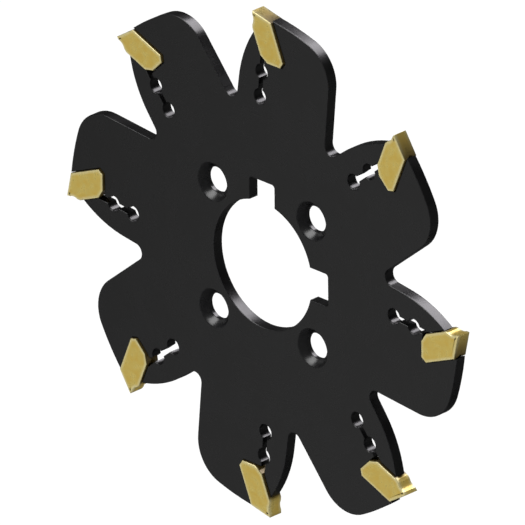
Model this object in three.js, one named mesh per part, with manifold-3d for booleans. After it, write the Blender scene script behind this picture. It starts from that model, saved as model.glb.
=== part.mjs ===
// Disc slotting cutter with eight self-gripping carbide inserts.
// Units are millimetres and +Z is up. The disc stands upright: its axis is the Y axis, its front face looks
// towards -Y, and the origin is the centre of the bore at half the disc's thickness.
//
// Everything is drawn in the plane of the disc first, seen from the front: x to the right, y up, z towards the
// viewer. The group at the end of the file stands that plane upright. A lobe is drawn at twelve o'clock; the
// others are the same lobe turned clockwise. The teeth cut towards -x at twelve o'clock, so the side at -x of a
// lobe is its leading side.

import * as THREE from 'three';
import { mergeVertices } from 'three/addons/utils/BufferGeometryUtils.js';
import Module from 'manifold-3d';

const wasm = await Module();
wasm.setup();

// ---- Driving dimensions ------------------------------------------------------------------------------------

const CUTTER_DIAMETER = 160;        // over the cutting tips
const TEETH = 8;
const DISC_THICKNESS = 3.6;
const CHORD_ERROR = 0.05;           // how far a flat facet may stand off its arc
const OVERRUN = 1;                  // how far a cutting solid reaches past the face that it cuts

const BORE_DIAMETER = 40;
const KEYWAY_WIDTH = 10.2;
const KEYWAY_DEPTH = 6.6;           // from the bore's wall to the keyway's floor
const KEYWAY_CORNER_RADIUS = 1;
const KEYWAY_ANGLES = [0, 90];      // degrees clockwise from twelve o'clock

const SCREW_CIRCLE_STEP = 8.5;      // from the bore's wall out to the circle of the screw holes
const SCREW_HOLE_DIAMETER = 8;
const COUNTERSINK_DIAMETER = 12;
const COUNTERSINK_ANGLE = 90;       // included
const SCREW_HOLE_ANGLES = [45, 135, 225, 315];

const CROWN_DROP = 1.1;             // radial step from the cutting tip down to the back of the lobe at the seat
const CROWN_OFFSET = 4.8;           // the crown is struck from a point this far to the leading side
const SHOULDER_RADIUS = 12;
const TRAILING_WALL_LEAN = 5.5;     // degrees from the lobe's centre line
const GULLET_RADIUS = 2.6;
const GULLET_DEPTH = 26.1;         // from the cutting circle in to the centre of the gullet's round bottom
const GULLET_ANGLE = 13.1;         // degrees from that centre to the centre line of the lobe behind it
const FLANK_LEAN = 8;               // degrees from the lobe's centre line
const FLANK_STRAIGHT = 4.9;         // the straight foot of the leading flank, below its arc
const NOSE_DROP = 0.9;              // from the foot of the rake face down to the nose of the jaw

const INSERT_WIDTH = 5;             // the width of slot that the cutter makes
const INSERT_HEIGHT = 8.5;          // across the seat, from jaw to body
const INSERT_FLOOR_DEPTH = 15;      // from the cutting circle down to the insert's inner end
const INSERT_LEAN = 22.5;           // degrees that the seat leans forward
const TIP_ANGLE = -1.8;             // degrees of the cutting edge from the lobe's centre line
const RAKE_LENGTH = 5.4;
const RELIEF_ANGLE = 12.5;
const INSERT_CORNER_CHAMFER = 2;
const INSERT_EDGE_CHAMFER = 0.35;
const CHIP_GROOVE_RADIUS = 3.2;
const CHIP_GROOVE_DEPTH = 0.4;

const SEAT_CLEARANCE = 0.3;         // gap between an insert and its seat
const RIB_HEIGHT = 0.7;             // V ribs of the seat that run in the insert's V grooves
const RIB_ANGLE = 120;              // included
const RIB_ROOT = 0.1;               // how deep a rib's foot reaches into the disc
const RIB_INSET = 0.8;              // how far a rib stops short of its seat's ends

const SLOT_WIDTH = 1.6;             // lets the jaw spring open
const KEY_HOLE_RADIUS = 2.4;        // the release key's pins go in here
const OUTER_KEY_HOLE_DROP = 3.7;    // from the inner end of the insert to the outer key hole
const KEY_HOLE_SPACING = 8;         // between the two key holes of a slot, along the lobe's centre line
const SLOT_SLANT = 0.4;             // how far each key hole stands to its side of the centre line

// ---- Small geometry helpers --------------------------------------------------------------------------------

const degrees = THREE.MathUtils.degToRad;
const PITCH = (2 * Math.PI) / TEETH;

/** Unit vector at an angle in degrees clockwise from +y. */
const clockwise = (angle) => new THREE.Vector2(Math.sin(degrees(angle)), Math.cos(degrees(angle)));

/** The direction to the right of another one. */
const rightOf = (direction) => new THREE.Vector2(direction.y, -direction.x);

/** start + direction * distance */
const along = (start, direction, distance) => start.clone().addScaledVector(direction, distance);

/** A point of the plane turned clockwise about the origin. */
const turned = (point, angle) => point.clone().rotateAround(new THREE.Vector2(), -angle);

/** A straight line through a point. */
const line = (point, direction) => ({ point, direction });

/** The same line moved sideways, to its right. */
const shifted = ({ point, direction }, distance) => line(along(point, rightOf(direction), distance), direction);

/** Where two lines cross. */
function crossing(a, b) {
  const between = b.point.clone().sub(a.point);
  return along(a.point, a.direction, between.cross(b.direction) / a.direction.cross(b.direction));
}

/** Where a line leaves a circle, going along its direction; side -1 gives where it enters. */
function throughCircle({ point, direction }, centre, radius, side = 1) {
  const nearest = along(point, direction, centre.clone().sub(point).dot(direction));
  const half = Math.sqrt(radius ** 2 - nearest.distanceToSquared(centre));
  return along(nearest, direction, side * half);
}

/** Points of an arc from one point to another about a centre. */
function arc(centre, start, end, isClockwise) {
  const radius = start.distanceTo(centre);
  const from = start.clone().sub(centre).angle();
  let sweep = end.clone().sub(centre).angle() - from;
  if (isClockwise && sweep > 0) sweep -= 2 * Math.PI;
  if (!isClockwise && sweep < 0) sweep += 2 * Math.PI;
  const facet = 2 * Math.acos(1 - CHORD_ERROR / radius);
  const count = Math.max(2, Math.ceil(Math.abs(sweep) / facet));
  return Array.from({ length: count + 1 }, (_, i) => {
    const angle = from + (sweep * i) / count;
    return new THREE.Vector2(centre.x + radius * Math.cos(angle), centre.y + radius * Math.sin(angle));
  });
}

/** Points of a full circle. */
function circle(centre, radius) {
  const start = new THREE.Vector2(centre.x + radius, centre.y);
  const opposite = new THREE.Vector2(centre.x - radius, centre.y);
  return [...arc(centre, start, opposite, false).slice(0, -1), ...arc(centre, opposite, start, false).slice(0, -1)];
}

/** A three.js geometry as a manifold solid. */
function solid(geometry) {
  const bare = geometry.clone();
  bare.deleteAttribute('normal');
  bare.deleteAttribute('uv');
  const merged = mergeVertices(bare, 1e-5);
  return new wasm.Manifold(new wasm.Mesh({
    numProp: 3,
    vertProperties: new Float32Array(merged.attributes.position.array),
    triVerts: new Uint32Array(merged.index.array),
  }));
}

/** A manifold solid as a three.js geometry with flat facets. */
function geometryOf(manifold) {
  const mesh = manifold.getMesh();
  const geometry = new THREE.BufferGeometry();
  geometry.setAttribute('position', new THREE.BufferAttribute(new Float32Array(mesh.vertProperties), 3));
  geometry.setIndex(new THREE.BufferAttribute(new Uint32Array(mesh.triVerts), 1));
  const flat = geometry.toNonIndexed();
  flat.computeVertexNormals();
  return flat;
}

// ---- The seat's frame --------------------------------------------------------------------------------------

const tipRadius = CUTTER_DIAMETER / 2;
const seatOut = clockwise(-INSERT_LEAN);          // the way an insert leaves its seat
const seatBack = rightOf(seatOut);                // from the jaw towards the body
const inwards = new THREE.Vector2(0, -1);
const trailing = new THREE.Vector2(1, 0);

const tip = clockwise(TIP_ANGLE).multiplyScalar(tipRadius);
const rakeFoot = along(tip, inwards, RAKE_LENGTH);
const insertFloor = line(new THREE.Vector2(0, tipRadius - INSERT_FLOOR_DEPTH), trailing);
const insertFront = line(rakeFoot, seatOut);
const insertBack = shifted(insertFront, INSERT_HEIGHT);
const reliefLine = line(tip, clockwise(90 + RELIEF_ANGLE));

const jawFace = shifted(insertFront, -SEAT_CLEARANCE);
const backFace = shifted(insertBack, SEAT_CLEARANCE);
const floorFace = shifted(insertFloor, SEAT_CLEARANCE);

/** Cuts the corner between two lines, and gives the two points that replace it. */
function chamfered(corner, towardsA, towardsB, size) {
  return [along(corner, towardsA, size), along(corner, towardsB, size)];
}

/** The insert seen from the front, clockwise from its cutting tip. */
function insertOutline() {
  const heel = crossing(reliefLine, insertBack);
  const backCorner = crossing(insertBack, insertFloor);
  const frontCorner = crossing(insertFront, insertFloor);
  return [
    tip,
    heel,
    ...chamfered(backCorner, seatOut, trailing.clone().negate(), INSERT_CORNER_CHAMFER),
    ...chamfered(frontCorner, trailing, seatOut, INSERT_CORNER_CHAMFER),
    rakeFoot,
  ];
}

// ---- The disc's outline ------------------------------------------------------------------------------------

const gulletCentre = clockwise(-GULLET_ANGLE).multiplyScalar(tipRadius - GULLET_DEPTH);
const trailingWall = shifted(line(turned(gulletCentre, PITCH), clockwise(TRAILING_WALL_LEAN)), -GULLET_RADIUS);
const flankLine = shifted(line(gulletCentre, clockwise(FLANK_LEAN)), GULLET_RADIUS);
const jawNose = along(along(rakeFoot, seatOut, -NOSE_DROP), seatBack, -SEAT_CLEARANCE);
const outerKeyHole = new THREE.Vector2(SLOT_SLANT, insertFloor.point.y - OUTER_KEY_HOLE_DROP);
const innerKeyHole = new THREE.Vector2(-SLOT_SLANT, outerKeyHole.y - KEY_HOLE_SPACING);
const crownCentre = new THREE.Vector2(-CROWN_OFFSET, 0);
const heelOfCrown = throughCircle(backFace, new THREE.Vector2(), tipRadius - CROWN_DROP);
const crownRadius = heelOfCrown.distanceTo(crownCentre);

/** The gullet's round bottom in front of the lobe at twelve o'clock. */
function gulletBottom() {
  return arc(gulletCentre, turned(trailingWall.point, -PITCH), flankLine.point, false);
}

/** The leading flank: from the gullet a straight foot, then the arc that meets it smoothly and ends at the nose. */
function leadingFlank() {
  const start = along(flankLine.point, flankLine.direction, FLANK_STRAIGHT);
  const chord = jawNose.clone().sub(start);
  const across = rightOf(flankLine.direction);
  const radius = chord.lengthSq() / (2 * chord.dot(across));
  return arc(along(start, across, radius), start, jawNose, true);
}

/** The spring slot with its two round key holes, down the jaw's side and back up the body's side. */
function springSlot() {
  const outwards = outerKeyHole.clone().sub(innerKeyHole).normalize();
  const centreLine = line(innerKeyHole, outwards);
  const jawSide = shifted(centreLine, -SLOT_WIDTH / 2);
  const bodySide = shifted(centreLine, SLOT_WIDTH / 2);
  const outer = (side, end) => throughCircle(side, outerKeyHole, KEY_HOLE_RADIUS, end);
  const inner = (side) => throughCircle(side, innerKeyHole, KEY_HOLE_RADIUS);
  return [
    crossing(jawFace, jawSide),
    ...arc(outerKeyHole, outer(jawSide, 1), outer(jawSide, -1), false),
    ...arc(innerKeyHole, inner(jawSide), inner(bodySide), false),
    ...arc(outerKeyHole, outer(bodySide, -1), outer(bodySide, 1), false),
    crossing(floorFace, bodySide),
  ];
}

/** The seat's floor, the chamfer in its corner and the foot of its back face. */
function seatFloor() {
  const corner = crossing(backFace, floorFace);
  return chamfered(corner, trailing.clone().negate(), seatOut, INSERT_CORNER_CHAMFER);
}

/** The crown behind the seat, the round shoulder and the straight trailing wall. */
function crownAndShoulder() {
  const inner = shifted(trailingWall, -SHOULDER_RADIUS);
  const centre = throughCircle(inner, crownCentre, crownRadius - SHOULDER_RADIUS);
  const onCrown = along(centre, centre.clone().sub(crownCentre).normalize(), SHOULDER_RADIUS);
  const onWall = along(centre, rightOf(trailingWall.direction), SHOULDER_RADIUS);
  return [...arc(crownCentre, heelOfCrown, onCrown, true), ...arc(centre, onCrown, onWall, true).slice(1)];
}

/** One lobe at twelve o'clock, clockwise from the bottom of the gullet in front of it. */
function lobeOutline() {
  return [...gulletBottom(), ...leadingFlank(), ...springSlot(), ...seatFloor(), ...crownAndShoulder()];
}

/** The bore with its keyways. */
function boreOutline() {
  const boreRadius = BORE_DIAMETER / 2;
  const half = KEYWAY_WIDTH / 2;
  const bore = new THREE.Vector2();
  const angles = [...KEYWAY_ANGLES].sort((a, b) => a - b);
  return angles.flatMap((angle, i) => {
    const out = clockwise(angle);
    const across = rightOf(out);
    const mouth = Math.sqrt(boreRadius ** 2 - half ** 2);
    const floor = boreRadius + KEYWAY_DEPTH;
    const at = (side, height) => along(along(bore, out, height), across, side);
    const corner = (side) => at(side * (half - KEYWAY_CORNER_RADIUS), floor - KEYWAY_CORNER_RADIUS);
    const next = angles[(i + 1) % angles.length] + (i + 1 === angles.length ? 360 : 0);
    const nextMouth = next - THREE.MathUtils.radToDeg(Math.asin(half / boreRadius));
    return [
      at(-half, mouth),
      ...arc(corner(-1), at(-half, floor - KEYWAY_CORNER_RADIUS), at(KEYWAY_CORNER_RADIUS - half, floor), true),
      ...arc(corner(1), at(half - KEYWAY_CORNER_RADIUS, floor), at(half, floor - KEYWAY_CORNER_RADIUS), true),
      ...arc(bore, at(half, mouth), clockwise(nextMouth).multiplyScalar(boreRadius), true).slice(0, -1),
    ];
  });
}

// ---- Solids ------------------------------------------------------------------------------------------------

/**
 * A triangular rib along the seat, from its outer end inwards, as a prism that points along `facing`.
 * Its ridge lies the rib's height off the line of its foot, and its root reaches `root` behind that line.
 */
function seatRib(outerEnd, length, facing, root) {
  const half = (RIB_HEIGHT + root) * Math.tan(degrees(RIB_ANGLE / 2));
  const section = new THREE.Shape([
    new THREE.Vector2(RIB_HEIGHT, 0),
    new THREE.Vector2(-root, half),
    new THREE.Vector2(-root, -half),
  ]);
  const prism = new THREE.ExtrudeGeometry(section, { depth: length, bevelEnabled: false });
  const x = new THREE.Vector3(facing.x, facing.y, 0);
  const z = new THREE.Vector3(-seatOut.x, -seatOut.y, 0);
  const y = z.clone().cross(x);
  const frame = new THREE.Matrix4().makeBasis(x, y, z).setPosition(outerEnd.x, outerEnd.y, 0);
  return solid(prism.applyMatrix4(frame));
}

/** The two ribs of one seat: one on the body behind the insert and one on the jaw in front of it. */
function seatRibs() {
  const forward = seatBack.clone().negate();
  const [, floorEnd] = seatFloor();
  const backLength = heelOfCrown.distanceTo(floorEnd) - 2 * RIB_INSET;
  const back = seatRib(along(heelOfCrown, seatOut, -RIB_INSET), backLength, forward, RIB_ROOT);
  const jawLength = jawNose.distanceTo(springSlot()[0]) - 2 * RIB_INSET;
  const jaw = seatRib(along(jawNose, seatOut, -RIB_INSET), jawLength, seatBack, RIB_ROOT);
  return back.add(jaw);
}

/** A prism through the whole disc, for a hole of any outline. */
function punch(outline) {
  const depth = DISC_THICKNESS + 2 * OVERRUN;
  const prism = new THREE.ExtrudeGeometry(new THREE.Shape(outline), { depth, bevelEnabled: false });
  return solid(prism.translate(0, 0, -depth / 2));
}

/** A screw hole with its countersink, which opens at the front face. */
function screwHole(angle) {
  const centre = clockwise(angle).multiplyScalar(BORE_DIAMETER / 2 + SCREW_CIRCLE_STEP);
  const frontRadius = COUNTERSINK_DIAMETER / 2;
  const slope = Math.tan(degrees(COUNTERSINK_ANGLE / 2));
  const facets = circle(centre, frontRadius).length;
  const profile = [
    new THREE.Vector2(0, -frontRadius / slope),
    new THREE.Vector2(frontRadius + OVERRUN * slope, OVERRUN),
    new THREE.Vector2(0, OVERRUN),
  ];
  const cone = new THREE.LatheGeometry(profile, facets).rotateX(Math.PI / 2);
  cone.translate(centre.x, centre.y, DISC_THICKNESS / 2);
  return punch(circle(centre, SCREW_HOLE_DIAMETER / 2)).add(solid(cone));
}

/** The disc: eight lobes with their seats, slots and key holes round one hub. */
function makeBody() {
  const lobe = lobeOutline();
  const rim = Array.from({ length: TEETH }, (_, tooth) => lobe.map((point) => turned(point, tooth * PITCH))).flat();
  const plate = new THREE.ExtrudeGeometry(new THREE.Shape(rim), { depth: DISC_THICKNESS, bevelEnabled: false });
  let body = solid(plate.translate(0, 0, -DISC_THICKNESS / 2)).subtract(punch(boreOutline()));
  for (const angle of SCREW_HOLE_ANGLES) body = body.subtract(screwHole(angle));
  const ribs = seatRibs();
  for (let tooth = 0; tooth < TEETH; tooth += 1) {
    body = body.add(ribs.rotate([0, 0, -THREE.MathUtils.radToDeg(tooth * PITCH)]));
  }
  return geometryOf(body);
}

/** The groove across the rake face that curls the chip, as the cylinder that cuts it. */
function chipGroove() {
  const length = INSERT_WIDTH + 2 * OVERRUN;
  const facets = circle(tip, CHIP_GROOVE_RADIUS).length;
  const cutter = new THREE.CylinderGeometry(CHIP_GROOVE_RADIUS, CHIP_GROOVE_RADIUS, length, facets);
  const middle = along(tip, inwards, RAKE_LENGTH / 2);
  const centre = along(middle, trailing, CHIP_GROOVE_DEPTH - CHIP_GROOVE_RADIUS);
  return solid(cutter.rotateX(Math.PI / 2).translate(centre.x, centre.y, 0));
}

/** The V groove along one side of an insert, as the prism that cuts it from above its outer end. */
function seatGroove(outerEnd, side, facing) {
  const start = along(outerEnd, seatOut, OVERRUN);
  const length = start.distanceTo(crossing(side, insertFloor)) + OVERRUN;
  return seatRib(start, length, facing, OVERRUN);
}

/** One insert at twelve o'clock. */
function makeInsert() {
  const blank = new THREE.ExtrudeGeometry(new THREE.Shape(insertOutline()), {
    depth: INSERT_WIDTH - 2 * INSERT_EDGE_CHAMFER,
    bevelThickness: INSERT_EDGE_CHAMFER,
    bevelSize: INSERT_EDGE_CHAMFER,
    bevelOffset: -INSERT_EDGE_CHAMFER,
    bevelSegments: 1,
  });
  blank.translate(0, 0, INSERT_EDGE_CHAMFER - INSERT_WIDTH / 2);
  const heel = crossing(reliefLine, insertBack);
  const backGroove = seatGroove(heel, insertBack, seatBack.clone().negate());
  const jawGroove = seatGroove(rakeFoot, insertFront, seatBack);
  return geometryOf(solid(blank).subtract(backGroove).subtract(jawGroove).subtract(chipGroove()));
}

// ---- Scene -------------------------------------------------------------------------------------------------

const steel = new THREE.MeshStandardMaterial({ color: 0x2b2b2d, roughness: 0.5, metalness: 0.7 });
const coatedCarbide = new THREE.MeshStandardMaterial({ color: 0xc4a654, roughness: 0.35, metalness: 0.9 });

const cutter = new THREE.Group();
cutter.rotation.x = Math.PI / 2;

const body = new THREE.Mesh(makeBody(), steel);
body.name = 'cutter_body';
cutter.add(body);

const insertGeometry = makeInsert();
for (let tooth = 0; tooth < TEETH; tooth += 1) {
  const insert = new THREE.Mesh(insertGeometry, coatedCarbide);
  insert.name = `insert_${tooth + 1}`;
  insert.rotation.z = -tooth * PITCH;
  cutter.add(insert);
}

const scene = new THREE.Group();
scene.add(cutter);

export default scene;
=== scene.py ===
"""Disc slotting cutter: the fine disc and its eight coated inserts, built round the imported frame.

Sizes are millimetres in the drawing plane of the disc, seen from its front: x to the right, z up. Depth
runs along y, from the front face at minus half the thickness to the back face. A lobe is drawn at twelve
o'clock, and the others are the same lobe turned clockwise. Meshes are put into metres at the very end.
"""

import logging
import math
from dataclasses import dataclass, field
from enum import Enum
from typing import NamedTuple

import bpy
import numpy as np
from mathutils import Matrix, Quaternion, Vector, geometry


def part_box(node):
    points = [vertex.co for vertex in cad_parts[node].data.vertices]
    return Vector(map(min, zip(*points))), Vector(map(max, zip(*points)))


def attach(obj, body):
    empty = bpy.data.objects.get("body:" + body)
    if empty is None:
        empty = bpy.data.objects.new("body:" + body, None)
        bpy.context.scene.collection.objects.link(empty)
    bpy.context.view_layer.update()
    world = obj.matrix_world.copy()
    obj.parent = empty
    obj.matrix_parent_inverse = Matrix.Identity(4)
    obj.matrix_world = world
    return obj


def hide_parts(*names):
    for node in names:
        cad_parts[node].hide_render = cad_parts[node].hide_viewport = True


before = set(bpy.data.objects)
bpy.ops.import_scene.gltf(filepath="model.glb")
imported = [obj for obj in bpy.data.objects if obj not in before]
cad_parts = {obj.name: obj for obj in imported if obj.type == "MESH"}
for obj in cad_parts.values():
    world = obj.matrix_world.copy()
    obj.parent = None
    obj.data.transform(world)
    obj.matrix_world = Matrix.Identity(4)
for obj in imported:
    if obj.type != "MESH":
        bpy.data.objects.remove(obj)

LOG = logging.getLogger("slotting_cutter")
METRES = 0.001                     # one millimetre
EDGE_MASK = "edge"                 # point attribute: 1 on a broken edge, 0 away from it; it carries painted edge highlight with wear
SEAT_SHADE_MASK = "seat_shade"               # point attribute: painted shade, 1 where an insert sits against its seat


class Slot(Enum):
    """The record's material slots."""

    STEEL = "black_steel"
    COATING = "coated_carbide"


class Side(Enum):
    """Which side of a clockwise outline the material lies on, with the turn that its walls need."""

    RIGHT = 1
    LEFT = -1


# ---- Plane geometry ------------------------------------------------------------------------------


class Line(NamedTuple):
    """A straight line through a point."""

    point: np.ndarray
    direction: np.ndarray


def clockwise(angle: float) -> np.ndarray:
    """Gives the unit vector at an angle from twelve o'clock: (sin, cos).

    Args:
        angle: Degrees, clockwise.

    Returns:
        The vector in x, z.
    """
    return np.array([math.sin(math.radians(angle)), math.cos(math.radians(angle))])


def right_of(direction: np.ndarray) -> np.ndarray:
    """Gives the direction a quarter turn clockwise of another: (z, -x)."""
    return np.array([direction[1], -direction[0]])


def turned(points: np.ndarray, angle: float) -> np.ndarray:
    """Turns points of the plane about the bore: x cos + z sin, z cos - x sin.

    Args:
        points: One point or rows of x, z.
        angle: Degrees, clockwise.

    Returns:
        The turned points, in the same layout.
    """
    cos, sin = math.cos(math.radians(angle)), math.sin(math.radians(angle))
    return points @ np.array([[cos, -sin], [sin, cos]])


def shifted(line: Line, distance: float) -> Line:
    """Gives the same line moved sideways, to its right."""
    return Line(line.point + right_of(line.direction) * distance, line.direction)


def cross(a: np.ndarray, b: np.ndarray) -> np.ndarray:
    """Gives the flat cross product a_x b_z - a_z b_x, for one pair or for rows of them."""
    return a[..., 0] * b[..., 1] - a[..., 1] * b[..., 0]


def crossing(a: Line, b: Line) -> np.ndarray:
    """Gives the point where two lines cross: a's point plus a share of its direction.

    The share is the ratio of two cross products.
    """
    share = cross(b.point - a.point, b.direction) / cross(a.direction, b.direction)
    return a.point + a.direction * share


def through_circle(line: Line, centre: np.ndarray, radius: float, end: int = 1) -> np.ndarray:
    """Finds where a line passes a circle: the foot of the centre on the line, plus or minus half the chord.

    Args:
        line: The line.
        centre: The circle's centre.
        radius: The circle's radius.
        end: 1 for where the line leaves the circle, -1 for where it enters.

    Returns:
        The point in x, z.
    """
    foot = line.point + line.direction * float((centre - line.point) @ line.direction)
    half_chord = math.sqrt(radius**2 - float(((foot - centre) ** 2).sum()))
    return foot + line.direction * (end * half_chord)


def arc(
    centre: np.ndarray, start: np.ndarray, end: np.ndarray, is_clockwise: bool, chord_error: float
) -> np.ndarray:
    """Samples an arc: centre + radius times (cos, sin) of an angle that runs evenly from start to end.

    Args:
        centre: The arc's centre.
        start: Its first point.
        end: Its last point.
        is_clockwise: The way round.
        chord_error: How far a chord may stand off the arc, in millimetres.

    Returns:
        Rows of x, z with both ends.
    """
    radius = float(np.hypot(*(start - centre)))
    first, last = (math.atan2(*(p - centre)[::-1]) for p in (start, end))
    sweep = (last - first) % math.tau
    sweep -= math.tau if is_clockwise else 0.0
    steps = max(2, math.ceil(abs(sweep) / (2 * math.acos(1 - chord_error / radius))))
    angles = first + sweep * np.linspace(0.0, 1.0, steps + 1)
    return centre + radius * np.stack([np.cos(angles), np.sin(angles)], axis=1)


def without_doubles(points: np.ndarray, closer_than: float = 1e-4) -> np.ndarray:
    """Tells which points of a closed outline are not the same as the point before them.

    Args:
        points: Rows of x, z.
        closer_than: Points nearer to each other than this count as one.

    Returns:
        A mask, one value for each point.
    """
    return np.hypot(*(points - np.roll(points, 1, axis=0)).T) > closer_than


def outward(points: np.ndarray, side: Side) -> np.ndarray:
    """Works out, at each corner of a closed outline, the mitre that moves both of its sides by one unit.

    The mitre is the mean of the two sides' unit normals divided by the square of its own length.

    Args:
        points: A closed clockwise outline, rows of x, z.
        side: Where the material lies; the mitre points away from it.

    Returns:
        One vector for each point.
    """
    along = np.roll(points, -1, axis=0) - points
    along /= np.hypot(*along.T)[:, None]
    normals = np.stack([-along[:, 1], along[:, 0]], axis=1) * side.value
    mean = (normals + np.roll(normals, 1, axis=0)) / 2
    return mean / (mean**2).sum(axis=1, keepdims=True)


# ---- Surfaces ------------------------------------------------------------------------------------


@dataclass
class Surface:
    """A mesh in the making: points in millimetres, an edge mask, a painted seat shade mask, quads and
    triangles.
    """

    points: list[np.ndarray] = field(default_factory=list)
    masks: list[np.ndarray] = field(default_factory=list)
    seat_shades: list[np.ndarray] = field(default_factory=list)
    faces: list[np.ndarray] = field(default_factory=list)
    flat: list[np.ndarray] = field(default_factory=list)
    count: int = 0

    def add_tube(
        self, grid: np.ndarray, mask: np.ndarray, side: Side, seat_shade: np.ndarray | float = 0.0
    ) -> np.ndarray:
        """Adds a tube: a grid of points that closes on itself along its first axis.

        The face between columns i, i + 1 and rows j, j + 1 is the quad of those four points, taken in the
        order that turns it away from the material.

        Args:
            grid: Points, columns along the outline by rows across the thickness by 3.
            mask: The edge mask, columns by rows.
            side: Where the material lies, seen along the outline.
            seat_shade: The painted seat shade, columns by rows or one number.

        Returns:
            The points' numbers, columns by rows.
        """
        columns, rows = mask.shape
        numbers = self.count + np.arange(columns * rows).reshape(columns, rows)
        following = np.roll(numbers, -1, axis=0)
        quads = np.stack(
            [numbers[:, :-1], following[:, :-1], following[:, 1:], numbers[:, 1:]], axis=-1
        ).reshape(-1, 4)
        self.faces.append(quads[:, :: side.value])
        self.points.append(grid.reshape(-1, 3))
        self.masks.append(mask.reshape(-1))
        self.seat_shades.append(np.broadcast_to(seat_shade, mask.shape).reshape(-1))
        self.count += columns * rows
        return numbers

    def add_face(self, loops: list[np.ndarray], faces_back: bool) -> None:
        """Fills the flat space between closed loops of points that the surface has already.

        A triangle whose doubled area, the cross product of two sides, is negative is turned round.

        Args:
            loops: Point numbers, the outer loop first.
            faces_back: True for the side that looks along +y.
        """
        points = np.vstack(self.points)[:, [0, 2]]
        polygon = [[Vector((x, z, 0.0)) for x, z in points[loop]] for loop in loops]
        triangles = np.concatenate(loops)[np.array(geometry.tessellate_polygon(polygon))]
        a, b, c = (points[triangles[:, k]] for k in range(3))
        area = cross(b - a, c - a)
        wrong = (area > 0) if faces_back else (area < 0)
        triangles[wrong] = triangles[wrong][:, ::-1]
        self.faces.append(triangles)
        self.flat.extend(loops)

    def piece(self, name: str, sharp_above: float) -> bpy.types.Object:
        """Makes the Blender object, smooth but for its sharp edges and for the rims of its flat faces.

        Args:
            name: The piece's name.
            sharp_above: Degrees between two faces from which their edge stays sharp.

        Returns:
            The linked object, at the origin.
        """
        mesh = bpy.data.meshes.new(name)
        rows = [face for block in self.faces for face in block.tolist()]
        mesh.from_pydata((np.vstack(self.points) * METRES).tolist(), [], rows)
        mesh.validate()
        mesh.shade_smooth()
        mesh.set_sharp_from_angle(angle=math.radians(sharp_above))
        ends = np.empty(2 * len(mesh.edges), dtype=np.int32)
        mesh.edges.foreach_get("vertices", ends)
        ends = np.sort(ends.reshape(-1, 2), axis=1)
        loops = [np.sort(np.stack([loop, np.roll(loop, -1)], axis=1), axis=1) for loop in self.flat]
        rim = np.vstack([np.empty((0, 2), dtype=np.int64), *loops])
        on_rim = np.isin(ends @ [self.count, 1], rim @ [self.count, 1])
        sharp = np.empty(len(mesh.edges), dtype=bool)
        marks = mesh.attributes.get("sharp_edge") or mesh.attributes.new("sharp_edge", "BOOLEAN", "EDGE")
        marks.data.foreach_get("value", sharp)
        marks.data.foreach_set("value", sharp | on_rim)
        for label, values in ((EDGE_MASK, self.masks), (SEAT_SHADE_MASK, self.seat_shades)):
            marked = mesh.attributes.new(label, "FLOAT", "POINT")
            marked.data.foreach_set("value", np.concatenate(values).astype(np.float32))
        made = bpy.data.objects.new(name, mesh)
        bpy.context.scene.collection.objects.link(made)
        return made


# ---- The cutter's plan ---------------------------------------------------------------------------


@dataclass(frozen=True)
class Plan:
    """What the disc and its inserts share: the cutting circle, the insert's outline and the V grooves."""

    thickness: float
    insert_width: float
    cutter_radius: float = 80.0
    teeth: int = 8
    chord_error: float = 0.01
    insert_height: float = 8.5
    floor_depth: float = 15.0
    lean: float = 22.5
    tip_angle: float = -1.8
    rake_length: float = 5.4
    relief_angle: float = 12.5
    corner_chamfer: float = 2.0
    clearance: float = 0.12
    groove_depth: float = 0.7
    groove_angle: float = 120.0
    nose_drop: float = 0.9

    @property
    def pitch(self) -> float:
        """Degrees from one lobe to the next."""
        return 360.0 / self.teeth

    @property
    def groove_half_width(self) -> float:
        """Half the mouth of a V groove: its depth times the tangent of half its angle."""
        return self.groove_depth * math.tan(math.radians(self.groove_angle / 2))

    @property
    def seat_out(self) -> np.ndarray:
        """The way an insert leaves its seat."""
        return clockwise(-self.lean)

    @property
    def tip(self) -> np.ndarray:
        """The cutting edge."""
        return clockwise(self.tip_angle) * self.cutter_radius

    @property
    def rake_foot(self) -> np.ndarray:
        """Where the rake face meets the side that the jaw grips."""
        return self.tip - np.array([0.0, self.rake_length])

    @property
    def front(self) -> Line:
        """The insert's side against the jaw."""
        return Line(self.rake_foot, self.seat_out)

    @property
    def back(self) -> Line:
        """The insert's side against the lobe."""
        return shifted(self.front, self.insert_height)

    @property
    def floor(self) -> Line:
        """The insert's inner end."""
        return Line(np.array([0.0, self.cutter_radius - self.floor_depth]), np.array([1.0, 0.0]))

    @property
    def relief(self) -> Line:
        """The insert's outer end, which falls away behind the cutting edge."""
        return Line(self.tip, clockwise(90.0 + self.relief_angle))

    def chamfer(self, corner: np.ndarray, towards_a: np.ndarray, towards_b: np.ndarray) -> list[np.ndarray]:
        """Cuts a corner: gives the two points that stand one chamfer away from it along its sides."""
        return [corner + towards_a * self.corner_chamfer, corner + towards_b * self.corner_chamfer]


@dataclass(frozen=True)
class Outline:
    """A closed clockwise outline, with how high the V rib stands at each of its points (0 to 1)."""

    points: np.ndarray
    ribs: np.ndarray

    @staticmethod
    def joined(parts: list[tuple[np.ndarray, float]]) -> "Outline":
        """Strings stretches together, each with its rib height, and drops doubled points."""
        points = np.vstack([np.atleast_2d(stretch) for stretch, _ in parts])
        ribs = np.concatenate([np.full(len(np.atleast_2d(stretch)), rib) for stretch, rib in parts])
        kept = without_doubles(points)
        return Outline(points[kept], ribs[kept])


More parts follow.
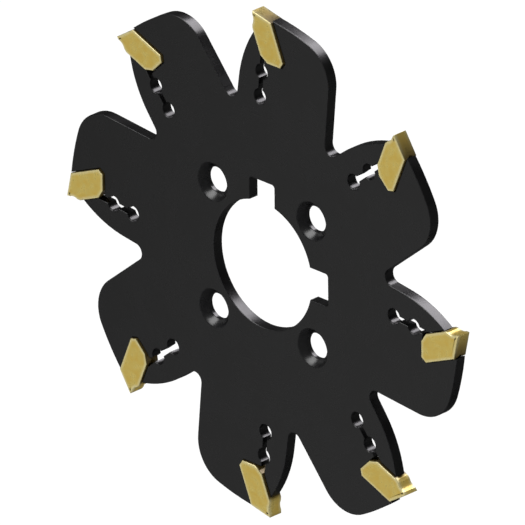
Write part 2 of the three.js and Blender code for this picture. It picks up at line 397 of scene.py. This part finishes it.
@dataclass
class Disc:
    """The hardened disc: eight lobes with seats, spring slots and key holes round a keyed and drilled hub."""

    plan: Plan
    edge_break: float = 0.25
    edge_steps: int = 4
    crown_drop: float = 1.1
    crown_offset: float = 4.8
    shoulder_radius: float = 12.0
    wall_lean: float = 5.5
    gullet_radius: float = 2.6
    gullet_depth: float = 26.1
    gullet_angle: float = 13.1
    flank_lean: float = 8.0
    flank_straight: float = 4.9
    slot_width: float = 1.6
    slot_slant: float = 0.4
    key_hole_radius: float = 2.4
    outer_key_drop: float = 3.7
    key_hole_spacing: float = 8.0
    rib_inset: float = 0.8
    rib_run_out: float = 0.3
    bore_radius: float = 20.0
    keyway_width: float = 10.2
    keyway_depth: float = 6.6
    keyway_corner: float = 1.0
    keyway_angles: tuple[float, ...] = (0.0, 90.0)
    screw_step: float = 8.5
    screw_radius: float = 4.0
    countersink_radius: float = 6.0
    countersink_sheen_and_wear: float = 0.5
    screw_angles: tuple[float, ...] = (45.0, 135.0, 225.0, 315.0)
    screw_facets: int = 96
    sharp_above: float = 24.0

    def __post_init__(self) -> None:
        """Works out the lines and centres that the outline is struck from."""
        plan = self.plan
        self.gullet = clockwise(-self.gullet_angle) * (plan.cutter_radius - self.gullet_depth)
        next_gullet = turned(self.gullet, plan.pitch)
        self.wall = shifted(Line(next_gullet, clockwise(self.wall_lean)), -self.gullet_radius)
        self.flank = shifted(Line(self.gullet, clockwise(self.flank_lean)), self.gullet_radius)
        self.jaw_face = shifted(plan.front, -plan.clearance)
        self.back_face = shifted(plan.back, plan.clearance)
        self.floor_face = shifted(plan.floor, plan.clearance)
        self.nose = self.jaw_face.point - plan.seat_out * plan.nose_drop
        self.outer_hole = np.array([self.slot_slant, plan.floor.point[1] - self.outer_key_drop])
        self.inner_hole = np.array([-self.slot_slant, self.outer_hole[1] - self.key_hole_spacing])
        self.heel = through_circle(self.back_face, np.zeros(2), plan.cutter_radius - self.crown_drop)

    def bend(self, centre: np.ndarray, start: np.ndarray, end: np.ndarray, is_clockwise: bool) -> np.ndarray:
        """Samples an arc at the plan's chord error."""
        return arc(centre, start, end, is_clockwise, self.plan.chord_error)

    def ribbed(self, start: np.ndarray, end: np.ndarray) -> list[tuple[np.ndarray, float]]:
        """Runs a V rib along a straight seat face.

        The rib is 0 up to its inset from either end, rises to 1 over its run-out, and stays 1 between.

        Args:
            start: The face's first point.
            end: Its last point.

        Returns:
            Stretches with their rib heights.
        """
        way = (end - start) / np.hypot(*(end - start))
        inset, full = self.rib_inset, self.rib_inset + self.rib_run_out
        return [
            (start, 0.0),
            (start + way * inset, 0.0),
            (np.stack([start + way * full, end - way * full]), 1.0),
            (end - way * inset, 0.0),
            (end, 0.0),
        ]

    def gullet_bottom(self) -> np.ndarray:
        """The arc round the gullet's centre, from the lobe before's wall to this lobe's flank."""
        return self.bend(self.gullet, turned(self.wall.point, -self.plan.pitch), self.flank.point, False)

    def leading_flank(self) -> np.ndarray:
        """The leading flank: a straight foot, then an arc that leaves it smoothly and ends at the jaw's nose.

        The arc's radius is the chord's square over twice the chord's part across the foot.
        """
        start = self.flank.point + self.flank.direction * self.flank_straight
        chord, across = self.nose - start, right_of(self.flank.direction)
        radius = float(chord @ chord) / (2 * float(chord @ across))
        return self.bend(start + across * radius, start, self.nose, True)

    def slot_sides(self) -> tuple[Line, Line]:
        """The slot's side at the jaw and its side at the lobe's body."""
        way = self.outer_hole - self.inner_hole
        middle = Line(self.inner_hole, way / np.hypot(*way))
        return shifted(middle, -self.slot_width / 2), shifted(middle, self.slot_width / 2)

    def at_hole(self, side: Line, hole: np.ndarray, end: int = 1) -> np.ndarray:
        """Where a side of the slot leaves a key hole, or enters it at end -1."""
        return through_circle(side, hole, self.key_hole_radius, end)

    def spring_slot(self) -> np.ndarray:
        """The slot with its two round key holes: down the jaw's side, round the inner hole and back up."""
        jaw, body = self.slot_sides()
        outer, inner = self.outer_hole, self.inner_hole
        return np.vstack([
            self.bend(outer, self.at_hole(jaw, outer), self.at_hole(jaw, outer, -1), False),
            self.bend(inner, self.at_hole(jaw, inner), self.at_hole(body, inner), False),
            self.bend(outer, self.at_hole(body, outer, -1), self.at_hole(body, outer), False),
            crossing(self.floor_face, body),
        ])

    def slot_mouth(self) -> np.ndarray:
        """Where the jaw's seat face runs into the slot."""
        return crossing(self.jaw_face, self.slot_sides()[0])

    def crown_and_shoulder(self) -> np.ndarray:
        """The crown, struck ahead of the centre line, and the round shoulder down to the wall."""
        centre, radius = np.array([-self.crown_offset, 0.0]), self.shoulder_radius
        crown_radius = float(np.hypot(*(self.heel - centre)))
        shoulder = through_circle(shifted(self.wall, -radius), centre, crown_radius - radius)
        on_crown = shoulder + (shoulder - centre) / np.hypot(*(shoulder - centre)) * radius
        on_wall = shoulder + right_of(self.wall.direction) * radius
        crown = self.bend(centre, self.heel, on_crown, True)
        return np.vstack([crown, self.bend(shoulder, on_crown, on_wall, True)])

    def lobe(self) -> list[tuple[np.ndarray, float]]:
        """One lobe at twelve o'clock, clockwise from the gullet in front of it."""
        plan = self.plan
        corner = crossing(self.back_face, self.floor_face)
        floor_end, back_end = plan.chamfer(corner, np.array([-1.0, 0.0]), plan.seat_out)
        return [
            (self.gullet_bottom(), 0.0),
            (self.leading_flank(), 0.0),
            *self.ribbed(self.nose, self.slot_mouth()),
            (self.spring_slot(), 0.0),
            (floor_end, 0.0),
            *self.ribbed(back_end, self.heel),
            (self.crown_and_shoulder(), 0.0),
        ]

    def rim(self) -> Outline:
        """The outline of all the lobes."""
        plan = self.plan
        lobe = self.lobe()
        return Outline.joined([
            (turned(stretch, tooth * plan.pitch), rib)
            for tooth in range(plan.teeth)
            for stretch, rib in lobe
        ])

    def bore(self) -> Outline:
        """The bore with its round-cornered keyways, clockwise."""
        half, corner = self.keyway_width / 2, self.keyway_corner
        mouth, floor = math.sqrt(self.bore_radius**2 - half**2), self.bore_radius + self.keyway_depth
        half_mouth = math.degrees(math.asin(half / self.bore_radius))
        left_side = np.array([[-half, mouth], [-half, floor - corner], [corner - half, floor]])
        left_centre = np.array([corner - half, floor - corner])
        mirror = np.array([-1.0, 1.0])
        parts: list[tuple[np.ndarray, float]] = []
        angles = self.keyway_angles
        for angle, following in zip(angles, [*angles[1:], angles[0] + 360.0]):
            mouth_left, side_left, floor_left = turned(left_side, angle)
            mouth_right, side_right, floor_right = turned(left_side * mirror, angle)
            left, right = turned(left_centre, angle), turned(left_centre * mirror, angle)
            next_mouth = clockwise(following - half_mouth) * self.bore_radius
            parts += [
                (mouth_left, 0.0),
                (self.bend(left, side_left, floor_left, True), 0.0),
                (self.bend(right, floor_right, side_right, True), 0.0),
                (self.bend(np.zeros(2), mouth_right, next_mouth, True), 0.0),
            ]
        return Outline.joined(parts)

    def wall_profile(self) -> tuple[np.ndarray, np.ndarray, np.ndarray]:
        """The section of a wall from the front face to the back face.

        A broken edge is a quarter circle: inset = r (1 - sin a) and depth = r (1 - cos a) for a from 0 to 90
        degrees. The rows between carry the foot, the crest and the foot of the V rib.

        Returns:
            Inset into the material, place along y, and edge mask, one value for each row.
        """
        a = np.linspace(0.0, math.pi / 2, self.edge_steps + 1)
        half, foot = self.plan.thickness / 2, self.plan.groove_half_width
        inset, depth = self.edge_break * (1 - np.sin(a)), self.edge_break * (1 - np.cos(a))
        # The edge mask peaks halfway round the broken edge: it carries painted edge highlight with wear.
        mask = np.sin(2 * a)
        middle = np.array([-foot, 0.0, foot])
        none = np.zeros_like(middle)
        return (
            np.concatenate([inset, none, inset[::-1]]),
            np.concatenate([depth - half, middle, (half - depth)[::-1]]),
            np.concatenate([mask, none, mask[::-1]]),
        )

    def add_wall(self, surface: Surface, outline: Outline, side: Side) -> np.ndarray:
        """Carries the wall's section along an outline.

        A point is the outline's point + mitre * (rib height * rib share - inset), where the rib share falls
        evenly from 1 at mid-thickness to 0 at the groove's half width.

        Args:
            surface: What the wall is added to.
            outline: The outline, clockwise.
            side: Where the material lies.

        Returns:
            The points' numbers, columns by rows.
        """
        inset, depth, mask = self.wall_profile()
        share = np.clip(1 - np.abs(depth) / self.plan.groove_half_width, 0.0, 1.0)
        out = outline.ribs[:, None] * share * self.plan.groove_depth - inset
        place = outline.points[:, None, :] + outward(outline.points, side)[:, None, :] * out[..., None]
        grid = np.stack([place[..., 0], np.broadcast_to(depth, out.shape), place[..., 1]], axis=-1)
        return surface.add_tube(grid, np.broadcast_to(mask, out.shape), side)

    def add_screw_hole(self, surface: Surface, angle: float) -> np.ndarray:
        """Carries a countersunk hole's profile round its axis.

        About the hole's centre a point is x = r sin t, z = r cos t.

        Args:
            surface: What the hole is added to.
            angle: Where the hole stands, in degrees clockwise from twelve o'clock.

        Returns:
            The points' numbers, columns by rows.
        """
        centre = clockwise(angle) * (self.bore_radius + self.screw_step)
        half, small, sink = self.plan.thickness / 2, self.edge_break / 2, self.countersink_radius
        throat, sheen_and_wear = sink - self.screw_radius - half, self.countersink_sheen_and_wear
        # The third column is the edge mask: painted edge highlight with wear, at half strength over the
        # countersink.
        profile = np.array([
            [sink + small, -half, 0.0],
            [sink, -half + small / 2, 1.0],
            [sink - small, -half + small, sheen_and_wear],
            [self.screw_radius + small, throat - small, sheen_and_wear],
            [self.screw_radius, throat + small, sheen_and_wear],
            [self.screw_radius, half - self.edge_break, 0.0],
            [self.screw_radius + small, half - small, 1.0],
            [self.screw_radius + self.edge_break, half, 0.0],
        ])
        t = np.linspace(0.0, math.tau, self.screw_facets, endpoint=False)[:, None]
        shape = (self.screw_facets, len(profile))
        radius, depth, mask = (np.broadcast_to(column, shape) for column in profile.T)
        grid = np.stack([centre[0] + radius * np.sin(t), depth, centre[1] + radius * np.cos(t)], axis=-1)
        return surface.add_tube(grid, mask, Side.LEFT)

    def build(self) -> bpy.types.Object:
        """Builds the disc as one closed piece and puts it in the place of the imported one."""
        surface = Surface()
        tubes = [
            self.add_wall(surface, self.rim(), Side.RIGHT),
            self.add_wall(surface, self.bore(), Side.LEFT),
            *(self.add_screw_hole(surface, angle) for angle in self.screw_angles),
        ]
        surface.add_face([tube[:, 0] for tube in tubes], faces_back=False)
        surface.add_face([tube[:, -1] for tube in tubes], faces_back=True)
        made = surface.piece("disc", self.sharp_above)
        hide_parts("cutter_body")
        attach(made, "disc")
        LOG.info("disc: %d points, %d faces", len(made.data.vertices), len(made.data.polygons))
        return made


# Points of an insert's outline, in the order in which Insert.outline gives them.
SEATED = slice(1, 7)               # from the relief's far end round to the nose: these touch the disc
RAKE_ENDS = [0, 7]                 # the cutting edge and the rake face's foot


@dataclass
class Insert:
    """A coated carbide insert: a leaning block with two V grooves and a chip former in its rake face."""

    plan: Plan
    edge_chamfer: float = 0.2
    pale_border: float = 0.95
    end_shade: float = 0.35
    chip_radius: float = 3.2
    chip_depth: float = 0.4
    chip_steps: int = 12
    honing: float = 0.05
    honing_segments: int = 2
    sharp_above: float = 26.0

    def chip_former(self) -> np.ndarray:
        """The groove that curls the chip, up the rake face.

        Its points are the centre plus the radius times (cos, sin) of an angle that runs evenly between the
        two places where the circle passes the rake face.
        """
        half_angle = math.acos(1 - self.chip_depth / self.chip_radius)
        middle = self.plan.tip - np.array([0.0, self.plan.rake_length / 2])
        centre = middle + np.array([self.chip_depth - self.chip_radius, 0.0])
        angles = np.linspace(-half_angle, half_angle, self.chip_steps + 1)
        return centre + self.chip_radius * np.stack([np.cos(angles), np.sin(angles)], axis=1)

    def outline(self, groove: float) -> np.ndarray:
        """The insert's outline where its V grooves are so deep: straight lines crossed in turn, clockwise.

        Args:
            groove: The depth of both grooves at this place across the width.

        Returns:
            Rows of x, z, always the same number.
        """
        plan = self.plan
        right = np.array([1.0, 0.0])
        back, front = shifted(plan.back, -groove), shifted(plan.front, groove)
        back_corner = plan.chamfer(crossing(plan.back, plan.floor), plan.seat_out, -right)
        front_corner = plan.chamfer(crossing(plan.front, plan.floor), right, plan.seat_out)
        back_cut, front_cut = (
            Line(first, (second - first) / np.hypot(*(second - first)))
            for first, second in (back_corner, front_corner)
        )
        return np.vstack([
            plan.tip,
            crossing(plan.relief, back),
            crossing(back, back_cut),
            back_corner[1],
            front_corner[0],
            crossing(front_cut, front),
            front.point - plan.seat_out * plan.nose_drop,
            plan.rake_foot,
            self.chip_former(),
        ])

    def surface(self, angle: float) -> Surface:
        """Stacks the outlines across the width, turned to the insert's own place.

        The rows from front to back are the border's inner end, the face's rim and the chamfer's foot, then
        the foot, the bottom and the foot of the V grooves, and the same rows again in turn. The painted shade
        darkens the sides that sit against the disc, is faint at the ends of the rake face, and leaves both
        faces unshaded.

        Args:
            angle: Degrees clockwise from twelve o'clock.

        Returns:
            The closed surface.
        """
        plan, half = self.plan, self.plan.insert_width / 2
        plain, grooved = self.outline(0.0), self.outline(plan.groove_depth)
        mitre = outward(plain, Side.RIGHT)
        rim = plain - mitre * self.edge_chamfer
        inner = rim - mitre * self.pale_border
        depth = np.array([half, half, half - self.edge_chamfer, plan.groove_half_width, 0.0])
        # The edge mask grades up over the pale border to the rim and the chamfer: painted edge highlight with
        # wear.
        mask = np.array([0.0, 1.0, 1.0, 0.0, 0.0])
        wall = np.array([0.0, 0.0, 1.0, 1.0, 1.0])
        rows = [inner, rim, plain, plain, grooved, plain, plain, rim, inner]
        depth = np.concatenate([-depth, depth[-2::-1]])
        mask, wall = (np.concatenate([share, share[-2::-1]]) for share in (mask, wall))
        place = turned(np.stack(rows, axis=1).reshape(-1, 2), angle).reshape(len(plain), len(rows), 2)
        flat = np.broadcast_to(depth, place.shape[:2])
        made = Surface()
        grid = np.stack([place[..., 0], flat, place[..., 1]], axis=-1)
        # Painted shade on the sides in the seat, fainter at the ends of the rake face.
        seat_shade = np.zeros(len(plain))
        seat_shade[RAKE_ENDS] = self.end_shade
        seat_shade[SEATED] = 1.0
        tube = made.add_tube(grid, np.broadcast_to(mask, flat.shape), Side.RIGHT, seat_shade[:, None] * wall)
        made.add_face([tube[:, 0]], faces_back=False)
        made.add_face([tube[:, -1]], faces_back=True)
        made.flat.clear()
        return made

    def build(self, tooth: int) -> bpy.types.Object:
        """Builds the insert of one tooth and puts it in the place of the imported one.

        Args:
            tooth: 0 for the lobe at twelve o'clock, then clockwise.

        Returns:
            The piece.
        """
        name = f"insert_{tooth + 1}"
        made = self.surface(tooth * self.plan.pitch).piece(f"coated_{name}", self.sharp_above)
        hone = made.modifiers.new("honed_edges", "BEVEL")
        hone.width = self.honing * METRES
        hone.segments = self.honing_segments
        hone.limit_method = "ANGLE"
        hone.angle_limit = math.radians(self.sharp_above)
        hone.harden_normals = False
        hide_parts(name)
        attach(made, name)
        return made


# ---- Finishes ------------------------------------------------------------------------------------

Colour = tuple[float, float, float, float]
NUMBER, VECTOR = "NodeSocketFloat", "NodeSocketVector"
MIX_FIRST, MIX_SECOND, MIX_RESULT = 6, 7, 2     # a Mix node's colour sockets, by number
NOISE_MIDDLE = 0.5                 # the value that a noise texture keeps around


class Nodes:
    """Adds nodes to one tree, from left to right."""

    def __init__(self, tree: bpy.types.NodeTree) -> None:
        """Keeps the tree."""
        self.tree = tree

    def add(
        self, kind: str, feeds: dict[str | int, object] | None = None, **settings: object
    ) -> bpy.types.Node:
        """Adds a node, sets it up and feeds its inputs.

        Args:
            kind: The node's type name.
            feeds: For each input, by name or number, a socket to link or a value to set.
            settings: The node's own properties.

        Returns:
            The node.
        """
        node = self.tree.nodes.new(kind)
        for name, value in settings.items():
            setattr(node, name, value)
        for name, value in (feeds or {}).items():
            if isinstance(value, bpy.types.NodeSocket):
                self.tree.links.new(value, node.inputs[name])
            else:
                node.inputs[name].default_value = value
        return node

    def group(self, tree: bpy.types.NodeTree, feeds: dict[str | int, object]) -> bpy.types.NodeSocket:
        """Places a node group and gives its first output."""
        return self.add("ShaderNodeGroup", feeds, node_tree=tree).outputs[0]

    def maths(self, operation: str, *values: object) -> bpy.types.NodeSocket:
        """Adds a Math node and gives its result."""
        return self.add("ShaderNodeMath", dict(enumerate(values)), operation=operation).outputs[0]

    def ramp(
        self, value: object, low: float, high: float, to_low: float, to_high: float
    ) -> bpy.types.NodeSocket:
        """Stretches a value from one range to another, and holds it inside the second."""
        feeds = {"Value": value, "From Min": low, "From Max": high, "To Min": to_low, "To Max": to_high}
        return self.add("ShaderNodeMapRange", feeds).outputs["Result"]

    def blend(self, share: object, first: object, second: object) -> bpy.types.NodeSocket:
        """Mixes two colours."""
        feeds = {"Factor": share, MIX_FIRST: first, MIX_SECOND: second}
        return self.add("ShaderNodeMix", feeds, data_type="RGBA").outputs[MIX_RESULT]


def new_group(name: str, inputs: dict[str, str], outputs: dict[str, str]) -> tuple[Nodes, Nodes, Nodes]:
    """Makes an empty shader node group with named sockets.

    Args:
        name: The group's name.
        inputs: Socket type for each input's name.
        outputs: Socket type for each output's name.

    Returns:
        The builder of its tree, its input node and its output node.
    """
    tree = bpy.data.node_groups.new(name, "ShaderNodeTree")
    for label, kind in inputs.items():
        tree.interface.new_socket(label, in_out="INPUT", socket_type=kind)
    for label, kind in outputs.items():
        tree.interface.new_socket(label, in_out="OUTPUT", socket_type=kind)
    nodes = Nodes(tree)
    return nodes, nodes.add("NodeGroupInput"), nodes.add("NodeGroupOutput")


@dataclass(frozen=True)
class GroundGrain:
    """Rings that a face grinder leaves about the bore, with a little drift round the circle."""

    drift: float = 0.004
    detail: float = 3.0

    def group(self) -> bpy.types.NodeTree:
        """Builds the group: noise read at (radius, drift cos, drift sin), times the scale."""
        inputs = {"Vector": VECTOR, "Scale": NUMBER}
        nodes, given, made = new_group("ground_grain", inputs, {"Height": NUMBER})
        parts = nodes.add("ShaderNodeSeparateXYZ", {0: given.outputs["Vector"]}).outputs
        squares = [nodes.maths("POWER", parts[axis], 2.0) for axis in (0, 2)]
        radius = nodes.maths("MAXIMUM", nodes.maths("SQRT", nodes.maths("ADD", *squares)), METRES)
        round_ways = [
            nodes.maths("MULTIPLY", nodes.maths("DIVIDE", parts[axis], radius), self.drift) for axis in (0, 2)
        ]
        place = nodes.add("ShaderNodeCombineXYZ", {0: radius, 1: round_ways[0], 2: round_ways[1]}).outputs[0]
        noise = nodes.add(
            "ShaderNodeTexNoise", {"Vector": place, "Scale": given.outputs["Scale"], "Detail": self.detail}
        )
        nodes.tree.links.new(noise.outputs[0], made.inputs["Height"])
        return nodes.tree


@dataclass(frozen=True)
class Blotches:
    """Uneven take-up of a finish, as soft patches with finer ones inside them."""

    detail: float = 4.0
    low: float = 0.35
    high: float = 0.65

    def group(self) -> bpy.types.NodeTree:
        """Builds the group: noise at the given scale, stretched so that it fills 0 to 1."""
        nodes, given, made = new_group("blotches", {"Vector": VECTOR, "Scale": NUMBER}, {"Share": NUMBER})
        feeds = {"Vector": given.outputs["Vector"], "Scale": given.outputs["Scale"], "Detail": self.detail}
        noise = nodes.add("ShaderNodeTexNoise", feeds)
        share = nodes.ramp(noise.outputs[0], self.low, self.high, 0.0, 1.0)
        nodes.tree.links.new(share, made.inputs["Share"])
        return nodes.tree


@dataclass(frozen=True)
class EdgeSheenAndWear:
    """A lighter share along the broken edges, in uneven runs: painted edge highlight together with wear."""

    scale: float = 900.0
    low: float = 0.35
    high: float = 0.65
    least: float = 0.7

    def group(self) -> bpy.types.NodeTree:
        """Builds the group: edge mask times amount times noise that stays between the least share and 1."""
        inputs = {"Vector": VECTOR, "Mask": NUMBER, "Amount": NUMBER}
        nodes, given, made = new_group("edge_sheen_and_wear", inputs, {"Share": NUMBER})
        noise = nodes.add("ShaderNodeTexNoise", {"Vector": given.outputs["Vector"], "Scale": self.scale})
        uneven = nodes.ramp(noise.outputs[0], self.low, self.high, self.least, 1.0)
        patchy = nodes.maths("MULTIPLY", given.outputs["Mask"], uneven)
        sheen_and_wear_share = nodes.maths("MULTIPLY", patchy, given.outputs["Amount"])
        nodes.tree.links.new(sheen_and_wear_share, made.inputs["Share"])
        return nodes.tree


@dataclass(frozen=True)
class Effects:
    """The node groups that both finishes use."""

    grain: bpy.types.NodeTree
    blotches: bpy.types.NodeTree
    sheen_and_wear: bpy.types.NodeTree

    @staticmethod
    def made() -> "Effects":
        """Builds each group once."""
        return Effects(GroundGrain().group(), Blotches().group(), EdgeSheenAndWear().group())


@dataclass(frozen=True)
class Finish:
    """A metal finish: two tones in blotches, a third on broken edges as painted edge highlight with wear, a
    fourth as painted shade where an insert sits in its seat, grain, and the shader's even values.
    """

    name: str
    tone: Colour
    second_tone: Colour
    edge_tone: Colour
    edge_amount: float
    seat_shade_tone: Colour
    metallic: float
    specular: float
    roughness: tuple[float, float]
    blotch_scale: float
    grain_scale: float
    speck_scale: float
    grain_share: float
    bump_strength: float
    bump_height: float

    def material(self, effects: Effects) -> bpy.types.Material:
        """Builds the material on Object coordinates.

        Args:
            effects: The shared node groups.

        Returns:
            The material.
        """
        made = bpy.data.materials.new(self.name)
        made.use_nodes = True
        made.node_tree.nodes.clear()
        nodes = Nodes(made.node_tree)
        place = nodes.add("ShaderNodeTexCoord").outputs["Object"]
        mask = nodes.add("ShaderNodeAttribute", attribute_name=EDGE_MASK).outputs["Fac"]
        patches = nodes.group(effects.blotches, {"Vector": place, "Scale": self.blotch_scale})
        rings = nodes.group(effects.grain, {"Vector": place, "Scale": self.grain_scale})
        sheen_and_wear_share = nodes.group(effects.sheen_and_wear, {"Vector": place, "Mask": mask, "Amount": self.edge_amount})
        specks = nodes.add("ShaderNodeTexNoise", {"Vector": place, "Scale": self.speck_scale}).outputs[0]
        seat_shade = nodes.add("ShaderNodeAttribute", attribute_name=SEAT_SHADE_MASK).outputs["Fac"]
        # Painted edge highlight with wear: the edge share lightens the colour towards the edge tone.
        before_shade = nodes.blend(sheen_and_wear_share, nodes.blend(patches, self.tone, self.second_tone), self.edge_tone)
        # Painted shade: the seat shade attribute darkens the colour towards the seat shade tone.
        colour = nodes.blend(seat_shade, before_shade, self.seat_shade_tone)
        rough = nodes.maths("ADD", patches, nodes.maths("SUBTRACT", rings, NOISE_MIDDLE))
        height = nodes.maths(
            "ADD",
            nodes.maths("MULTIPLY", rings, self.grain_share),
            nodes.maths("MULTIPLY", specks, 1.0 - self.grain_share),
        )
        feeds = {"Strength": self.bump_strength, "Distance": self.bump_height, "Height": height}
        shader = nodes.add(
            "ShaderNodeBsdfPrincipled",
            {
                "Base Color": colour,
                "Metallic": self.metallic,
                "Specular IOR Level": self.specular,
                "Roughness": nodes.ramp(rough, 0.0, 1.0, *self.roughness),
                "Normal": nodes.add("ShaderNodeBump", feeds).outputs[0],
            },
        )
        nodes.add("ShaderNodeOutputMaterial", {"Surface": shader.outputs[0]})
        return made


BLACK_OXIDE = Finish(
    name="black_oxide_steel",
    tone=(0.0018, 0.0019, 0.0022, 1.0),
    second_tone=(0.0040, 0.0039, 0.0038, 1.0),
    # Painted edge highlight with wear on the broken edges.
    edge_tone=(0.030, 0.030, 0.032, 1.0),
    edge_amount=0.5,
    # Painted seat shade, left out on the disc, whose seat shade mask is 0 everywhere.
    seat_shade_tone=(0.003, 0.003, 0.003, 1.0),
    metallic=0.0,
    specular=0.45,
    roughness=(0.24, 0.32),
    blotch_scale=90.0,
    grain_scale=2400.0,
    speck_scale=3000.0,
    grain_share=0.6,
    bump_strength=0.12,
    bump_height=0.00002,
)

GOLD_NITRIDE = Finish(
    name="gold_nitride_on_carbide",
    tone=(0.50, 0.39, 0.100, 1.0),
    second_tone=(0.50, 0.35, 0.060, 1.0),
    # Painted edge highlight with wear along the pale border and the broken edges.
    edge_tone=(0.60, 0.54, 0.28, 1.0),
    edge_amount=1.0,
    # Painted seat shade on the sides that sit against the disc.
    seat_shade_tone=(0.085, 0.058, 0.014, 1.0),
    metallic=0.4,
    specular=0.5,
    roughness=(0.26, 0.36),
    blotch_scale=420.0,
    grain_scale=1500.0,
    speck_scale=5200.0,
    grain_share=0.25,
    bump_strength=0.07,
    bump_height=0.00002,
)


# ---- Studio --------------------------------------------------------------------------------------


@dataclass(frozen=True)
class Softbox:
    """A soft rectangular light that looks at the cutter."""

    name: str
    place: tuple[float, float, float]
    size: tuple[float, float]
    radiance: float
    looks_at: tuple[float, float, float] = (0.0, 0.0, 0.0)
    tint: tuple[float, float, float] = (1.0, 1.0, 1.0)
    lights_matt: bool = True

    def build(self) -> bpy.types.Object:
        """Makes the light: its power is radiance times pi times its area."""
        data = bpy.data.lights.new(self.name, "AREA")
        data.shape = "RECTANGLE"
        data.size, data.size_y = self.size
        data.color = self.tint
        data.energy = self.radiance * math.pi * self.size[0] * self.size[1]
        made = bpy.data.objects.new(self.name, data)
        made.location = self.place
        way = Vector(self.looks_at) - Vector(self.place)
        made.rotation_euler = way.to_track_quat("-Z", "Y").to_euler()
        made.visible_camera = False
        made.visible_diffuse = self.lights_matt
        bpy.context.scene.collection.objects.link(made)
        return made


@dataclass(frozen=True)
class Studio:
    """A white sweep, four soft boxes, and a long lens at the cutter's right and a little above it."""

    azimuth: float = 45.1
    elevation: float = 24.45
    roll: float = -0.64
    lens: float = 1500.0
    sensor: float = 36.0
    clip: tuple[float, float] = (0.05, 80.0)
    view_width: float = 0.15215
    aim_right: float = -0.00124
    aim_up: float = 0.00015
    floor_drop: float = 2.5
    floor_half: float = 15.0
    floor_colour: Colour = (0.92, 0.92, 0.92, 1.0)
    white: float = 1.2
    gloom: float = 0.05
    lit_from: tuple[float, float, float] = (-0.5, -0.6, 0.0)
    lights: tuple[Softbox, ...] = (
        Softbox(
            "overhead", (-0.02, 0.75, 1.0), (0.8, 1.3), radiance=7.8,
            looks_at=(-0.02, 0.75, 0.0), tint=(0.98, 0.95, 1.0), lights_matt=False,
        ),
        Softbox(
            "front_overhead", (-0.45, -0.85, 1.0), (0.9, 1.2), radiance=6.5,
            looks_at=(-0.45, -0.85, 0.0), lights_matt=False,
        ),
        Softbox("front_fill", (-0.36, -0.80, -0.38), (0.9, 0.9), radiance=0.45, lights_matt=False),
        Softbox("back_fill", (0.70, 0.70, -0.27), (1.0, 1.0), radiance=0.06),
    )

    def build_camera(self) -> None:
        """Places the camera: back along the view direction until the view is as wide as asked."""
        a, e = math.radians(self.azimuth), math.radians(self.elevation)
        back = Vector((math.sin(a) * math.cos(e), -math.cos(a) * math.cos(e), math.sin(e)))
        turn = Quaternion(back, math.radians(self.roll)) @ (-back).to_track_quat("-Z", "Y")
        right, up = turn @ Vector((1.0, 0.0, 0.0)), turn @ Vector((0.0, 1.0, 0.0))
        data = bpy.data.cameras.new("camera")
        data.lens, data.sensor_width = self.lens, self.sensor
        made = bpy.data.objects.new("camera", data)
        distance = self.view_width * self.lens / self.sensor
        made.location = right * self.aim_right + up * self.aim_up + back * distance
        made.rotation_mode = "QUATERNION"
        made.rotation_quaternion = turn
        data.clip_start, data.clip_end = self.clip
        bpy.context.scene.collection.objects.link(made)
        bpy.context.scene.camera = made

    def build_floor(self) -> None:
        """Lays the plain pale floor, which mirrors don't see."""
        half, z = self.floor_half, -self.floor_drop
        corners = [(-half, -half, z), (half, -half, z), (half, half, z), (-half, half, z)]
        mesh = bpy.data.meshes.new("floor")
        mesh.from_pydata(corners, [], [(0, 1, 2, 3)])
        material = bpy.data.materials.new("pale_floor")
        material.use_nodes = True
        shader = material.node_tree.nodes["Principled BSDF"]
        shader.inputs["Base Color"].default_value = self.floor_colour
        shader.inputs["Roughness"].default_value = 1.0
        shader.inputs["Specular IOR Level"].default_value = 0.0
        mesh.materials.append(material)
        made = bpy.data.objects.new("floor", mesh)
        made.visible_glossy = False
        bpy.context.scene.collection.objects.link(made)

    def build_world(self) -> None:
        """Lights the sweep evenly and keeps the room dark in the cutter's reflections."""
        world = bpy.data.worlds.new("studio")
        world.use_nodes = True
        world.node_tree.nodes.clear()
        nodes = Nodes(world.node_tree)
        path = nodes.add("ShaderNodeLightPath").outputs
        way = nodes.add("ShaderNodeTexCoord").outputs["Generated"]
        lean = nodes.add("ShaderNodeVectorMath", {0: way, 1: self.lit_from}, operation="DOT_PRODUCT")
        even = nodes.maths("ADD", lean.outputs["Value"], self.white)
        soft = nodes.maths("MULTIPLY", path["Is Diffuse Ray"], even)
        seen = nodes.maths("MAXIMUM", nodes.maths("MULTIPLY", path["Is Camera Ray"], self.white), soft)
        strength = nodes.maths("MAXIMUM", seen, self.gloom)
        light = nodes.add("ShaderNodeBackground", {"Color": (1.0, 1.0, 1.0, 1.0), "Strength": strength})
        nodes.add("ShaderNodeOutputWorld", {"Surface": light.outputs[0]})
        bpy.context.scene.world = world

    def build(self) -> None:
        """Builds the camera, the floor, the lights and the surroundings."""
        self.build_camera()
        self.build_floor()
        self.build_world()
        for light in self.lights:
            light.build()
        bpy.context.scene.view_settings.view_transform = "Standard"
        LOG.info("studio: %d soft boxes", len(self.lights))


# ---- Assembly ------------------------------------------------------------------------------------


def width_of(node: str) -> float:
    """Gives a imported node's size along the bore's axis, in millimetres."""
    low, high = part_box(node)
    return (high.y - low.y) / METRES


def main() -> None:
    """Builds the studio, the disc and the inserts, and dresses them."""
    logging.basicConfig(level=logging.INFO, format="%(name)s: %(message)s")
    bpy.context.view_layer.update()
    Studio().build()
    effects = Effects.made()
    steel, coating = BLACK_OXIDE.material(effects), GOLD_NITRIDE.material(effects)
    plan = Plan(thickness=width_of("cutter_body"), insert_width=width_of("insert_1"))
    Disc(plan).build().data.materials.append(steel)
    insert = Insert(plan)
    for tooth in range(plan.teeth):
        insert.build(tooth).data.materials.append(coating)
    LOG.info("inserts: %d", plan.teeth)


if __name__ == "__main__":
    main()
